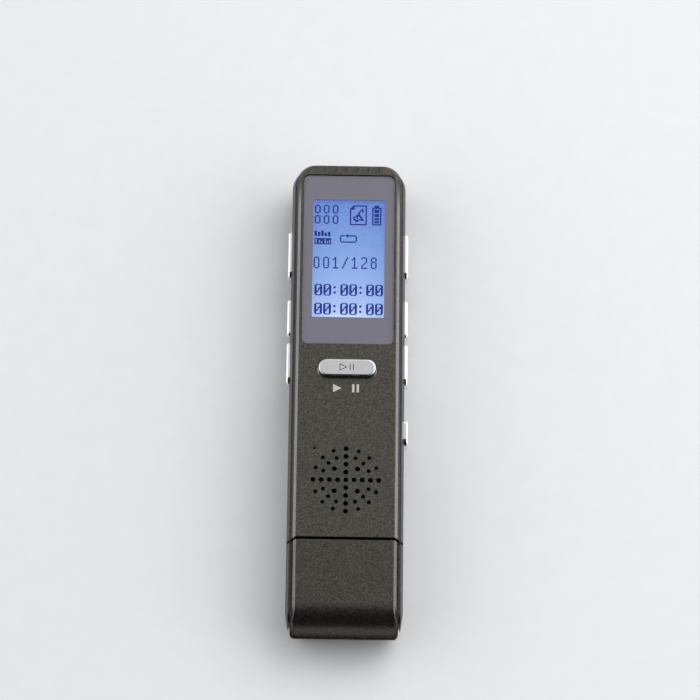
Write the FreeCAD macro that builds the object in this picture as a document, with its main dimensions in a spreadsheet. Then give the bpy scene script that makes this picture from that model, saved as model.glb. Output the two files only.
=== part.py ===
"""Handheld voice recorder: a slim metal-faced stick with a display, side keys and a USB plug under a cap.

Frame: X across the width, +Y towards the microphone end, +Z out of the display face.
The origin is in the middle of the back face. All sizes are in millimetres.
"""

import FreeCAD, Part
import math
import os

import Sketcher

doc = FreeCAD.newDocument("voice_recorder")
sheet = doc.addObject("Spreadsheet::Sheet", "Sizes")
parts = []


class Size:
    """A length that knows its value and the sheet expression that gives it."""

    def __init__(self, value, text):
        self.value = float(value)
        self.text = text

    def __add__(self, other):
        other = as_size(other)
        return Size(self.value + other.value, f"({self.text} + {other.text})")

    def __sub__(self, other):
        other = as_size(other)
        return Size(self.value - other.value, f"({self.text} - {other.text})")

    def __mul__(self, factor):
        return Size(self.value * factor, f"({self.text} * {factor})")

    def __truediv__(self, divisor):
        return Size(self.value / divisor, f"({self.text} / {divisor})")

    def __neg__(self):
        return Size(-self.value, f"(0 - {self.text})")

    __rmul__ = __mul__


def as_size(number):
    """A bare number as a Size."""
    return number if isinstance(number, Size) else Size(number, repr(float(number)))


def cell(alias, value, meaning):
    """Adds a driving dimension to the sheet and returns it as a Size."""
    row = cell.next_row
    cell.next_row += 1
    sheet.set(f"A{row}", meaning)
    sheet.set(f"B{row}", str(value))
    sheet.setAlias(f"B{row}", alias)
    return Size(value, f"Sizes.{alias}")


cell.next_row = 1

# Outside form
length = cell("overall_length", 92.8, "overall length, cap on")
width = cell("overall_width", 21.6, "width over the side rails")
thick = cell("thickness", 11.0, "thickness without the play button")
cap_length = cell("cap_length", 17.2, "length of the pull-off cap")
seam = cell("seam_gap", 0.55, "gap between cap and body")
rail_step = cell("rail_step", 0.85, "how far the side rail stands out from the covers")
top_step = cell("top_step", 0.25, "how far the frame stands out from the covers at the top end")
groove_width = cell("groove_width", 0.3, "width of the groove between covers and rail")
groove_depth = cell("groove_depth", 0.35, "depth of the groove between covers and rail")
lip = cell("cover_lip", 2.5, "depth of the covers' side walls, from face to parting line")
face_wall = cell("face_wall", 1.0, "thickness of the cover faces")
side_wall = cell("side_wall", 0.9, "thickness of the covers' side walls")
top_corner = cell("top_corner", 4.4, "plan radius of the frame's top corners")
cap_bend = cell("cap_bend", 5.2, "radius of the cap's end, seen from the side")
slope_in = cell("slope_in", 0.8, "width of the covers' sloping edge, across the face")
slope_down = cell("slope_down", 1.7, "height of the covers' sloping edge, down the side")
edge_round = cell("edge_round", 0.25, "rounding where face and sloping edge meet")
rail_slope_in = cell("rail_slope_in", 0.45, "width of the rails' sloping edge")
rail_slope_down = cell("rail_slope_down", 1.3, "height of the rails' sloping edge")
rail_end_round = cell("rail_end_round", 2.4, "rounding of the cap rails' ends, seen from the side")
rail_taper_in = cell("rail_taper_in", 0.4, "how far the cap rails taper towards their ends")
rail_taper_len = cell("rail_taper_length", 2.6, "length of the cap rails' taper")
cap_slope_in = cell("cap_slope_in", 0.9, "width of the cap's sloping edge, across the face")
cap_slope_down = cell("cap_slope_down", 1.9, "height of the cap's sloping edge, down the side")
cap_corner = cell("cap_corner", 0.85, "rounding of the cap's end, round its sides")

# Display and front face
lens_width = cell("lens_width", 17.3, "display window width")
lens_height = cell("lens_height", 34.2, "display window height")
lens_y = cell("lens_y", 26.4, "display centre along the body")
lens_corner = cell("lens_corner", 1.1, "display window corner radius")
lens_gap = cell("lens_gap", 0.1, "gap round the display window")
lens_seat = cell("lens_seat", 0.45, "depth of the display window's seat")
view_width = cell("view_width", 13.6, "visible display width")
view_height = cell("view_height", 23.9, "visible display height")
view_gap = cell("view_gap", 0.2, "gap round the visible display in the front cover")
view_y = cell("view_y", 26.6, "centre of the visible display along the body")
mask_thick = cell("mask_thickness", 0.1, "thickness of the printed sheet under the display window")
lens_sink = cell("lens_sink", 0.03, "clearance under the display window, and its depth below the face")
play_length = cell("play_length", 10.7, "play button length")
play_width = cell("play_width", 3.3, "play button width")
play_y = cell("play_y", 4.2, "play button centre")
play_rise = cell("play_rise", 1.0, "play button height above the face")
play_gap = cell("play_gap", 0.25, "gap round the play button")
grille_y = cell("grille_y", -17.65, "speaker grille centre")
hole_pitch = cell("hole_pitch", 1.52, "spacing of the grille rings and of the holes in the cross")
hole_radius = cell("hole_radius", 0.47, "radius of the grille holes in the cross and in the second ring")
small_hole = cell("small_hole_radius", 0.38, "radius of the other grille holes")
pinhole_x = cell("pinhole_x", -5.86, "indicator hole across the face")
pinhole_y = cell("pinhole_y", -11.5, "indicator hole along the body")
pinhole_radius = cell("pinhole_radius", 0.3, "indicator hole radius")
slot_pitch = cell("slot_pitch", 2.07, "spacing of the microphone slots")
slot_width = cell("slot_width", 1.2, "width of the microphone slots")
slot_depth = cell("slot_depth", 0.7, "depth of the microphone slots")
slot_reach = cell("slot_reach", 2.2, "how far the microphone slots reach from the top edge of the cover")

# Keys
key_width = cell("key_width", 3.2, "side key width")
key_rise = cell("key_rise", 0.68, "side key height above the rail")
key_gap = cell("key_gap", 0.15, "gap round a side key")
flange = cell("key_flange", 0.45, "thickness of the keys' inner flanges")
flange_rim = cell("flange_rim", 0.3, "how far the flanges reach past the openings")
switch_travel = cell("switch_travel", 2.0, "travel of the slide switch")
knob_length = cell("knob_length", 5.3, "slide switch knob length")
knob_y = cell("knob_y", -6.85, "slide switch knob centre at rest")
knob_rise = cell("knob_rise", 0.8, "slide switch knob height above the rail")

# Inside
board_z = cell("board_z", 4.0, "underside of the circuit board")
board_thick = cell("board_thick", 0.8, "circuit board thickness")
board_half = cell("board_half", 8.2, "half the circuit board width")
board_low = cell("board_low", -21.2, "circuit board end by the plug")
board_high = cell("board_high", 31.5, "circuit board end by the jack")
boss_x = cell("boss_x", 7.4, "screw bosses across the body")
boss_low = cell("boss_low", -25.2, "lower pair of screw bosses")
boss_high = cell("boss_high", 21.7, "upper pair of screw bosses")
boss_radius = cell("boss_radius", 1.3, "screw boss radius")
screw_radius = cell("screw_radius", 0.6, "screw shank radius")
head_radius = cell("head_radius", 1.15, "screw head radius")
glass_width = cell("glass_width", 15.4, "display glass width")
glass_length = cell("glass_length", 27.0, "display glass length")
glass_thick = cell("glass_thickness", 1.0, "display glass thickness")
lamp_thick = cell("backlight_thickness", 0.7, "display backlight thickness")
tray_play = cell("tray_play", 0.1, "play of the display parts in their tray")
tray_wall = cell("tray_wall", 0.3, "thickness of the display tray's floor")
flex_width = cell("flex_width", 8.0, "display ribbon width")
flex_thick = cell("flex_thickness", 0.1, "display ribbon thickness")
battery_y = cell("battery_y", 0.5, "battery centre along the body")
battery_width = cell("battery_width", 15.0, "battery width")
battery_length = cell("battery_length", 38.0, "battery length")
battery_top = cell("battery_top", 3.8, "battery top above the back face")
tape_thick = cell("tape_thickness", 0.2, "thickness of the tape under the battery")
basket_radius = cell("basket_radius", 7.0, "speaker radius")
cone_radius = cell("cone_radius", 6.2, "speaker cone radius")
cloth_radius = cell("cloth_radius", 6.9, "radius of the cloth behind the grille")
mic_radius = cell("mic_radius", 1.9, "microphone radius")
mic_x = cell("mic_x", 4.0, "microphones' distance from the middle")
mic_z = cell("mic_z", 8.1, "underside of the microphones")
case_half = cell("case_half", 1.7, "half the width of a side switch, and its height")

# USB plug and earphone jack
plug_width = cell("plug_width", 12.0, "USB plug shell width")
plug_height = cell("plug_height", 4.5, "USB plug shell height")
plug_out = cell("plug_out", 14.1, "USB plug length outside the body")
plug_in = cell("plug_in", 6.45, "USB plug length inside the body")
plug_wall = cell("plug_wall", 0.3, "USB plug shell wall")
neck = cell("neck_length", 2.0, "length of the neck that the cap slides over")
neck_width = cell("neck_width", 15.2, "width of the neck")
neck_height = cell("neck_height", 6.6, "height of the neck")
neck_gap = cell("neck_gap", 0.3, "gap between neck and cap")
jack_bore = cell("jack_bore", 1.8, "radius of the earphone jack bore")
jack_barrel = cell("jack_barrel", 2.25, "outside radius of the earphone jack barrel")
jack_depth = cell("jack_depth", 13.5, "depth of the earphone jack bore")

half = width / 2
top = length / 2
end = -top
cover_half = half - rail_step
cover_top = top - top_step
inner_half = cover_half - side_wall
inner_top = cover_top - side_wall
cap_mouth = end + cap_length
body_end = cap_mouth + seam
middle = thick / 2
parting = thick - lip
inner_face = thick - face_wall
board_top = board_z + board_thick
cover_corner = top_corner - rail_step
inner_corner = cover_corner - side_wall
end_wall_top = body_end + 1.45

# Side keys: name, side (-1 left, 1 right), centre along the body, length
KEYS = [
    ("menu_key", -1, 28.6, 9.7),
    ("volume_up_key", -1, 15.85, 7.6),
    ("volume_down_key", -1, 6.65, 8.5),
    ("record_key", 1, 28.6, 9.4),
    ("previous_key", 1, 15.85, 7.8),
    ("next_key", 1, 6.65, 8.5),
]
KEYS = [
    (name, side, cell(f"{name}_y", y, f"{name} centre"), cell(f"{name}_len", span, f"{name} length"))
    for name, side, y, span in KEYS
]


# ---------------------------------------------------------------- tools


def finished(feature, label):
    """Marks a feature as a sub-part, under the name of its file."""
    feature.Label = label
    parts.append(feature)
    return feature


def body(label):
    """A PartDesign body that becomes a sub-part."""
    return finished(doc.addObject("PartDesign::Body", label), label)


def sketch(owner, plane, offset=0, shift_x=0, shift_y=0):
    """A sketch on one of the body's origin planes, moved along its normal and within its plane."""
    support = next(f for f in owner.Origin.OriginFeatures if f.Role == plane)
    made = owner.newObject("Sketcher::SketchObject", "outline")
    made.AttachmentSupport = (support, [""])
    made.MapMode = "FlatFace"
    for axis, distance in (("x", shift_x), ("y", shift_y), ("z", offset)):
        made.setExpression(f"AttachmentOffset.Base.{axis}", as_size(distance).text)
    return made


def fix(made, kind, geometry, point, distance):
    """Holds a point of the sketch at a distance from its origin, along X or Y."""
    distance = as_size(distance)
    number = made.addConstraint(Sketcher.Constraint(kind, -1, 1, geometry, point, distance.value))
    made.setExpression(f"Constraints[{number}]", distance.text)


def rectangle(made, left, right, low, high, corners=(None, None, None, None)):
    """A rectangle with a radius, or None, for its low-left, low-right, high-right and high-left corners."""
    left, right, low, high = (as_size(s) for s in (left, right, low, high))
    radii = [None if r is None else as_size(r) for r in corners]
    r = [0.0 if c is None else c.value for c in radii]
    x0, x1, y0, y1 = left.value, right.value, low.value, high.value
    ends = [
        ((x0 + r[0], y0), (x1 - r[1], y0)),
        ((x1, y0 + r[1]), (x1, y1 - r[2])),
        ((x1 - r[2], y1), (x0 + r[3], y1)),
        ((x0, y1 - r[3]), (x0, y0 + r[0])),
    ]
    centres = [(x0 + r[0], y0 + r[0]), (x1 - r[1], y0 + r[1]), (x1 - r[2], y1 - r[2]), (x0 + r[3], y1 - r[3])]
    lines = [
        made.addGeometry(Part.LineSegment(FreeCAD.Vector(*a, 0), FreeCAD.Vector(*b, 0)), False)
        for a, b in ends
    ]
    for i in range(4):
        before, after = lines[i - 1], lines[i]
        if radii[i] is None:
            made.addConstraint(Sketcher.Constraint("Coincident", before, 2, after, 1))
            continue
        start = math.pi + i * math.pi / 2
        circle = Part.Circle(FreeCAD.Vector(*centres[i], 0), FreeCAD.Vector(0, 0, 1), r[i])
        arc = made.addGeometry(Part.ArcOfCircle(circle, start, start + math.pi / 2), False)
        made.addConstraint(Sketcher.Constraint("Tangent", before, 2, arc, 1))
        made.addConstraint(Sketcher.Constraint("Tangent", arc, 2, after, 1))
        number = made.addConstraint(Sketcher.Constraint("Radius", arc, r[i]))
        made.setExpression(f"Constraints[{number}]", radii[i].text)
    for line, kind in zip(lines, ("Horizontal", "Vertical", "Horizontal", "Vertical")):
        made.addConstraint(Sketcher.Constraint(kind, line))
    fix(made, "DistanceY", lines[0], 1, low)
    fix(made, "DistanceX", lines[1], 1, right)
    fix(made, "DistanceY", lines[2], 1, high)
    fix(made, "DistanceX", lines[3], 1, left)
    return made


def centred(made, x, y, across, along, radius=None):
    """A rectangle given by its centre and size, with the same radius at every corner."""
    x, y, across, along = (as_size(s) for s in (x, y, across, along))
    return rectangle(made, x - across / 2, x + across / 2, y - along / 2, y + along / 2, (radius,) * 4)


def triangle(made, corners):
    """A triangle held by its three corners."""
    corners = [tuple(as_size(size) for size in corner) for corner in corners]
    points = [FreeCAD.Vector(x.value, y.value, 0) for x, y in corners]
    lines = [made.addGeometry(Part.LineSegment(points[i], points[(i + 1) % 3]), False) for i in range(3)]
    for i, (x, y) in enumerate(corners):
        made.addConstraint(Sketcher.Constraint("Coincident", lines[i], 1, lines[i - 1], 2))
        fix(made, "DistanceX", lines[i], 1, x)
        fix(made, "DistanceY", lines[i], 1, y)
    return made


def circle(made, x, y, radius):
    """A circle held by its centre and radius."""
    x, y, radius = as_size(x), as_size(y), as_size(radius)
    number = made.addGeometry(
        Part.Circle(FreeCAD.Vector(x.value, y.value, 0), FreeCAD.Vector(0, 0, 1), radius.value), False
    )
    made.setExpression(
        f"Constraints[{made.addConstraint(Sketcher.Constraint('Radius', number, radius.value))}]", radius.text
    )
    fix(made, "DistanceX", number, 3, x)
    fix(made, "DistanceY", number, 3, y)
    return made


def feature(owner, kind, profile, distance, back=False, both=False):
    """A Pad or Pocket of a sketch. back turns its direction round, and both makes it symmetrical."""
    made = owner.newObject(f"PartDesign::{kind}", kind.lower())
    made.Profile = profile
    made.Reversed = back
    made.Midplane = both
    if distance is None:
        made.Type = 1
    else:
        made.setExpression("Length", as_size(distance).text)
    profile.Visibility = False
    doc.recompute()
    owner.Tip = made
    return made


def pad(owner, profile, distance, back=False, both=False):
    return feature(owner, "Pad", profile, distance, back, both)


def pocket(owner, profile, distance, back=False, both=False):
    """A cut that has to remove something."""
    before = owner.Shape.Volume
    made = feature(owner, "Pocket", profile, distance, back, both)
    if owner.Shape.Volume > before - 1e-6:
        raise ValueError(f"a pocket of {owner.Label} cuts nothing")
    return made


def edges_where(shape, keep, avoid):
    """The names of the edges that lie all in the kept region and not all in the avoided one."""
    names = []
    for number, edge in enumerate(shape.Edges, 1):
        points = [vertex.Point for vertex in edge.Vertexes]
        points.append(edge.valueAt((edge.FirstParameter + edge.LastParameter) / 2))
        if all(keep(p) for p in points) and not (avoid and all(avoid(p) for p in points)):
            names.append(f"Edge{number}")
    return names


def rounded(owner, radius, keep, avoid=None):
    """Rounds the body's edges in a region."""
    base = owner.Tip
    made = owner.newObject("PartDesign::Fillet", "fillet")
    made.Base = (base, edges_where(base.Shape, keep, avoid))
    made.setExpression("Radius", as_size(radius).text)
    doc.recompute()
    owner.Tip = made
    return made


def sloped(owner, shallow, steep, keep, avoid=None, flip=False):
    """Cuts a slope along the body's edges in a region, with its own size on each of the two faces."""
    base = owner.Tip
    made = owner.newObject("PartDesign::Chamfer", "chamfer")
    made.Base = (base, edges_where(base.Shape, keep, avoid))
    made.ChamferType = "Two distances"
    made.FlipDirection = flip
    made.setExpression("Size", as_size(shallow).text)
    made.setExpression("Size2", as_size(steep).text)
    doc.recompute()
    owner.Tip = made
    return made


def repeat(owner, kind, cut_feature, axis, count, size_name, size):
    """A polar or linear pattern of one cut, about or along an axis of its own sketch."""
    made = owner.newObject(f"PartDesign::{kind}", "pattern")
    made.Originals = [cut_feature]
    setattr(made, "Axis" if kind == "PolarPattern" else "Direction", (cut_feature.Profile[0], [axis]))
    made.setExpression(size_name, as_size(size).text)
    made.Occurrences = count
    doc.recompute()
    owner.Tip = made
    return made


def near(a, b):
    return abs(a - b.value) < 1e-3


def placed(made, x, y, z):
    """Binds a primitive's position to the sheet."""
    for axis, distance in (("x", x), ("y", y), ("z", z)):
        made.setExpression(f"Placement.Base.{axis}", as_size(distance).text)
    return made


def block(x0, x1, y0, y1, z0, z1, label=None):
    """A box between two corners."""
    made = doc.addObject("Part::Box", label or "block")
    x0, x1, y0, y1, z0, z1 = (as_size(s) for s in (x0, x1, y0, y1, z0, z1))
    for name, size in (("Length", x1 - x0), ("Width", y1 - y0), ("Height", z1 - z0)):
        made.setExpression(name, size.text)
    placed(made, x0, y0, z0)
    return finished(made, label) if label else made


DIRECTIONS = {
    "x": FreeCAD.Rotation(FreeCAD.Vector(0, 1, 0), 90),
    "y": FreeCAD.Rotation(FreeCAD.Vector(1, 0, 0), -90),
    "z": FreeCAD.Rotation(),
}


def rod(x, y, z, radius, distance, along="z", label=None):
    """A cylinder that starts at a point and runs along +X, +Y or +Z."""
    made = doc.addObject("Part::Cylinder", label or "rod")
    made.Placement = FreeCAD.Placement(FreeCAD.Vector(), DIRECTIONS[along])
    made.setExpression("Radius", as_size(radius).text)
    made.setExpression("Height", as_size(distance).text)
    placed(made, x, y, z)
    return finished(made, label) if label else made


def cut(base, tool, label=None):
    made = doc.addObject("Part::Cut", label or "cut")
    made.Base, made.Tool = base, tool
    return finished(made, label) if label else made


def group(label, shapes):
    """Several shapes as one sub-part: joined where they touch, separate solids where they don't."""
    made = doc.addObject("Part::MultiFuse", label)
    made.Shapes = shapes
    return finished(made, label)


# ---------------------------------------------------------------- housing


def tombstone(made, half_width, low, high, corner):
    """The body's plan outline: square at the plug end and round-cornered at the top end."""
    return rectangle(made, -half_width, half_width, low, high, (None, None, corner, corner))


def cover(label, outer, back):
    """A metal cover: a shallow tray that is open towards the middle of the body and towards the cap."""
    made = body(label)
    rim = lip if back else parting
    outline = tombstone(sketch(made, "XY_Plane", rim), cover_half, body_end, cover_top, cover_corner)
    pad(made, outline, lip, back)
    sloped(made, slope_in, slope_down, lambda p: near(p.z, outer), lambda p: near(p.y, body_end), True)
    rounded(made, edge_round, lambda p: near(p.z, outer), lambda p: near(p.y, body_end))
    hollow = tombstone(sketch(made, "XY_Plane", rim), inner_half, body_end - 1, inner_top, inner_corner)
    pocket(made, hollow, lip - face_wall, not back)
    return made


front = cover("front_cover", thick, False)
seat = centred(
    sketch(front, "XY_Plane", thick), 0, lens_y, lens_width + lens_gap * 2, lens_height + lens_gap * 2,
    lens_corner + lens_gap,
)
pocket(front, seat, lens_seat)
pocket(
    front,
    centred(
        sketch(front, "XY_Plane", thick), 0, view_y, view_width + view_gap * 2, view_height + view_gap * 2
    ),
    2,
)
pill = play_width / 2 - 0.05
pocket(
    front,
    centred(
        sketch(front, "XY_Plane", thick), 0, play_y, play_length + play_gap * 2, play_width + play_gap * 2,
        pill + play_gap,
    ),
    2,
)
middle_hole = sketch(front, "XY_Plane", thick, 0, grille_y)
pocket(front, circle(middle_hole, 0, 0, hole_radius), 2)
for ring, count, radius in (
    (1, 4, hole_radius), (2, 8, hole_radius), (3, 4, hole_radius), (4, 4, hole_radius), (3, 16, small_hole),
    (4, 16, small_hole),
):
    hole = circle(sketch(front, "XY_Plane", thick, 0, grille_y), hole_pitch * ring, 0, radius)
    repeat(front, "PolarPattern", pocket(front, hole, 2), "N_Axis", count, "Angle", 360)
pocket(front, circle(sketch(front, "XY_Plane", thick), pinhole_x, pinhole_y, pinhole_radius), 2)
slot_x = slot_pitch * -2.5
slot_round = slot_width * 0.45
slot = centred(
    sketch(front, "XY_Plane", thick), slot_x, cover_top, slot_width, slot_reach * 2, slot_round
)
repeat(front, "LinearPattern", pocket(front, slot, slot_depth), "H_Axis", 6, "Length", slot_pitch * 5)

rear = cover("rear_cover", Size(0, "0"), True)
SCREWS = [(x, y) for x in (-boss_x, boss_x) for y in (boss_low, boss_high)]
for hole_size, depth in ((head_radius + 0.15, 0.6), (screw_radius + 0.1, 1.5)):
    holes = sketch(rear, "XY_Plane")
    for x, y in SCREWS:
        circle(holes, x, y, hole_size)
    pocket(rear, holes, depth, True)

frame = body("side_frame")
pad(frame, tombstone(sketch(frame, "XY_Plane", lip), half, body_end, top, top_corner), parting - lip)
for edge_z in (lip, parting):
    sloped(
        frame, rail_slope_in, rail_slope_down, lambda p: near(p.z, edge_z), lambda p: near(p.y, body_end),
        True,
    )
pocket(
    frame, tombstone(sketch(frame, "XY_Plane", parting), inner_half, body_end - 1, inner_top, inner_corner),
    parting - lip,
)
for side in (-1, 1):
    openings = sketch(frame, "YZ_Plane", half * side)
    for name, key_side, y, span in KEYS:
        if key_side == side:
            centred(openings, y, middle, span + key_gap * 2, key_width + key_gap * 2, 0.9)
    if side == 1:
        slot_middle = knob_y + switch_travel / 2
        slot_length = knob_length + switch_travel + key_gap * 2
        centred(openings, slot_middle, middle, slot_length, key_width + key_gap * 2, 0.9)
    pocket(frame, openings, half - inner_half + 0.5, side < 0)
pocket(frame, circle(sketch(frame, "XZ_Plane", -top), 0, middle, jack_barrel + 0.05), 3, True)
webs = sketch(frame, "XY_Plane", lip)
for x, y in SCREWS:
    inner, outer = (x, inner_half + 0.3) if x.value > 0 else (-(inner_half + 0.3), x)
    rectangle(webs, inner, outer, y - 0.5, y + 0.5)
pad(frame, webs, 5)
bosses = sketch(frame, "XY_Plane", face_wall)
bores = sketch(frame, "XY_Plane", face_wall)
for x, y in SCREWS:
    circle(bosses, x, y, boss_radius)
    circle(bores, x, y, screw_radius + 0.03)
pad(frame, bosses, 6.5)
pocket(frame, bores, 5, True)

for groove_z, from_below in ((lip, True), (parting, False)):
    groove = sketch(frame, "XY_Plane", groove_z)
    tombstone(groove, cover_half + groove_width, body_end - 2, cover_top + 0.05, cover_corner + 0.1)
    tombstone(groove, cover_half, body_end - 1, cover_top, cover_corner)
    pocket(frame, groove, groove_depth, from_below)

mouth = body("plug_mount")
outline = rectangle(
    sketch(mouth, "XZ_Plane", -end_wall_top), -(inner_half - 0.05), inner_half - 0.05, face_wall + 0.05,
    inner_face - 0.05,
)
pad(mouth, outline, end_wall_top - body_end)
outline = centred(sketch(mouth, "XZ_Plane", -end_wall_top), 0, middle, neck_width, neck_height, 0.8)
pad(mouth, outline, end_wall_top - body_end + neck)
plug_play = 0.1
outline = centred(
    sketch(mouth, "XZ_Plane", -end_wall_top), 0, middle, plug_width + plug_play, plug_height + plug_play, 0.6
)
pocket(mouth, outline, end_wall_top - body_end + neck + 1, True)

# ---------------------------------------------------------------- display

seat_z = thick - lens_seat
lens_z = seat_z + mask_thick + lens_sink
lens = body("display_lens")
outline = centred(sketch(lens, "XY_Plane", lens_z), 0, lens_y, lens_width, lens_height, lens_corner)
pad(lens, outline, thick - lens_sink - lens_z)
rounded(lens, 0.12, lambda p: near(p.z, thick - lens_sink))

mask = body("display_mask")
outline = centred(sketch(mask, "XY_Plane", seat_z), 0, lens_y, lens_width, lens_height, lens_corner)
pad(mask, outline, mask_thick)
pocket(mask, centred(sketch(mask, "XY_Plane", thick), 0, view_y, view_width, view_height, 0.25), 2)


def slab(x, y, across, along, z0, z1, label=None):
    """A block given by its centre and size in plan, between two heights."""
    x, y, across, along = (as_size(s) for s in (x, y, across, along))
    return block(x - across / 2, x + across / 2, y - along / 2, y + along / 2, z0, z1, label)


glass_z = inner_face - glass_thick
lamp_z = glass_z - lamp_thick
lamp_width, lamp_length = glass_width - 0.4, glass_length - 0.6
slab(0, view_y, glass_width, glass_length, glass_z, inner_face, "display_glass")
slab(0, view_y, lamp_width, lamp_length, lamp_z, glass_z, "display_backlight")
tray_floor = slab(0, view_y, lamp_width + tray_play, lamp_length + tray_play, lamp_z, glass_z + 0.5)
tray_seat = slab(0, view_y, glass_width + tray_play, glass_length + tray_play, glass_z, thick)
tray_notch = slab(0, view_y - glass_length / 2 - tray_play, flex_width + 0.4, 1.6, lamp_z, glass_z + 0.05)
tray_hollow = doc.addObject("Part::MultiFuse", "tray_hollow")
tray_hollow.Shapes = [tray_floor, tray_seat, tray_notch]
tray = slab(0, view_y, glass_width + 1, glass_length + tray_wall * 2, lamp_z - tray_wall, inner_face)
cut(tray, tray_hollow, "display_tray")
flex_x = flex_width / 2
flex_y = view_y - glass_length / 2 - 1.1
flex_z = glass_z - 0.05
group(
    "display_ribbon",
    [
        block(-flex_x, flex_x, flex_y, flex_y + 1.35, flex_z - flex_thick, flex_z),
        block(-flex_x, flex_x, flex_y, flex_y + flex_thick, board_top, flex_z),
        block(-flex_x, flex_x, flex_y - 1.6, flex_y + flex_thick, board_top, board_top + flex_thick),
    ],
)

# ---------------------------------------------------------------- board and power

board = body("circuit_board")
outline = rectangle(sketch(board, "XY_Plane", board_z), -board_half, board_half, board_low, board_high)
pad(board, outline, board_thick)
notches = sketch(board, "XY_Plane", board_top)
notch = boss_x - boss_radius - 0.2
for left, right in ((notch, board_half + 1), (-(board_half + 1), -notch)):
    rectangle(notches, left, right, boss_high - boss_radius - 0.2, boss_high + boss_radius + 0.2)
pocket(board, notches, 2)

# Chips: name, centre across and along the board, width, length, height
CHIPS = [
    ("main_chip", 0, 19, 7, 6, 0.9),
    ("memory_chip", 0, 26.2, 9, 7.4, 1),
    ("amplifier_chip", -2.5, -14, 4, 4, 0.8),
]
for name, x, y, wide, long, high in CHIPS:
    slab(x, y, wide, long, board_top, board_top + high, name)
crystal_radius = 0.95
rod(6, -18.5, board_top + crystal_radius, crystal_radius, 6, "y", "clock_crystal")
CAPACITORS = [(-3, -3), (-3, -5), (-3, -7), (2, -3), (2, -5), (-3, 7.6), (3.4, 7.6)]
group("board_capacitors", [slab(x, y, 1.6, 0.8, board_top, board_top + 0.8) for x, y in CAPACITORS])
tape_top = face_wall + tape_thick
slab(0, battery_y, battery_width, battery_length, tape_top, battery_top, "battery")
slab(0, battery_y, battery_width - 2, battery_length - 4, face_wall, tape_top, "battery_tape")
lead_y = battery_y - battery_length / 2 - 1.5
lead_z = battery_top - 0.5
leads = []
for x in (-1.5, 1.5):
    leads.append(rod(x, lead_y, lead_z, 0.3, 1.5, "y"))
    leads.append(rod(x, lead_y, lead_z - 0.2, 0.4, board_z - lead_z + 0.2))
group("battery_leads", leads)

# ---------------------------------------------------------------- sound

basket_z = 7.9
cone_z = basket_z + 0.6
cone_height = 0.85
gasket_z = basket_z + 1.6
magnet = rod(0, grille_y, basket_z - 1.3, 3.6, 1.5)
basket = doc.addObject("Part::MultiFuse", "basket")
basket.Shapes = [rod(0, grille_y, basket_z, basket_radius, gasket_z - basket_z), magnet]
cut(basket, rod(0, grille_y, cone_z, cone_radius + 0.1, 2), "speaker_basket")
outer_cone, inner_cone = (doc.addObject("Part::Cone", "cone") for _ in range(2))
for made, base in ((outer_cone, cone_z), (inner_cone, cone_z + 0.15)):
    for name, size in (("Radius1", 2), ("Radius2", cone_radius), ("Height", cone_height)):
        made.setExpression(name, as_size(size).text)
    placed(made, 0, grille_y, base)
cut(outer_cone, inner_cone, "speaker_cone")
gasket = rod(0, grille_y, gasket_z, basket_radius, 0.35)
cut(gasket, rod(0, grille_y, cone_z + 0.5, cone_radius, 2), "speaker_gasket")
rod(0, grille_y, inner_face - 0.14, cloth_radius, 0.12, "z", "grille_mesh")

mic_y = inner_top - mic_radius - 0.7
group("microphones", [rod(x, mic_y, mic_z, mic_radius, 1.8) for x in (-mic_x, mic_x)])
wells = doc.addObject("Part::MultiFuse", "wells")
wells.Shapes = [rod(x, mic_y, mic_z, mic_radius, 3) for x in (-mic_x, mic_x)]
boot = slab(0, mic_y, (mic_x + mic_radius + 0.5) * 2, mic_radius * 2 + 0.3, mic_z - 0.1, inner_face - 0.05)
cut(boot, wells, "microphone_boot")

jack_half = jack_barrel + 0.05
jack_end = inner_top - 0.05
cut(
    block(-3, 3, board_high + 0.1, jack_end, middle - jack_half, middle + jack_half),
    rod(0, top - jack_depth, middle, jack_bore, jack_depth + 5, "y"),
    "jack_body",
)
cut(
    rod(0, jack_end, middle, jack_barrel, top - jack_end, "y"),
    rod(0, jack_end - 1, middle, jack_bore, 5, "y"),
    "jack_barrel",
)
group(
    "jack_contacts",
    [
        block(x - 0.35, x + 0.35, board_high - 1.5, board_high + 0.1, board_top, board_top + 0.12)
        for x in (-2, 0, 2)
    ],
)

# ---------------------------------------------------------------- USB plug

plug_back = body_end + plug_in
plug_tip = body_end - plug_out
shell = body("usb_shell")
outline = centred(sketch(shell, "XZ_Plane", -plug_back), 0, middle, plug_width, plug_height, 0.5)
pad(shell, outline, plug_in + plug_out)
walls = plug_wall * 2
outline = centred(
    sketch(shell, "XZ_Plane", -(plug_back + 1)), 0, middle, plug_width - walls, plug_height - walls, 0.2
)
pocket(shell, outline, plug_in + plug_out + 2, True)
windows = sketch(shell, "XY_Plane", middle)
for x in (-3, 3):
    centred(windows, x, plug_tip + 6.4, 2.3, 2.3)
pocket(shell, windows, 10, False, True)
group(
    "usb_tongue",
    [
        block(-5.65, 5.65, plug_tip + 0.4, plug_back, middle - 1.95, middle),
        block(-5.65, 5.65, body_end, plug_back, middle, middle + 1.9),
    ],
)
strips = []
for x in (-3.5, -1, 1, 3.5):
    reach = 1.2 if abs(x) > 2 else 2.2
    strips.append(block(x - 0.5, x + 0.5, plug_tip + reach, body_end, middle, middle + 0.15))
group("usb_contacts", strips)
group(
    "usb_leads",
    [
        block(x - 0.3, x + 0.3, plug_back, board_low + 1.2, board_top, board_top + 0.15)
        for x in (-3.5, -1, 1, 3.5)
    ],
)

# ---------------------------------------------------------------- keys


def across(side, inner, outer):
    """The X limits of something on one side of the body, given by its distances from the middle."""
    inner, outer = as_size(inner), as_size(outer)
    return (inner, outer) if side > 0 else (-outer, -inner)


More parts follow.
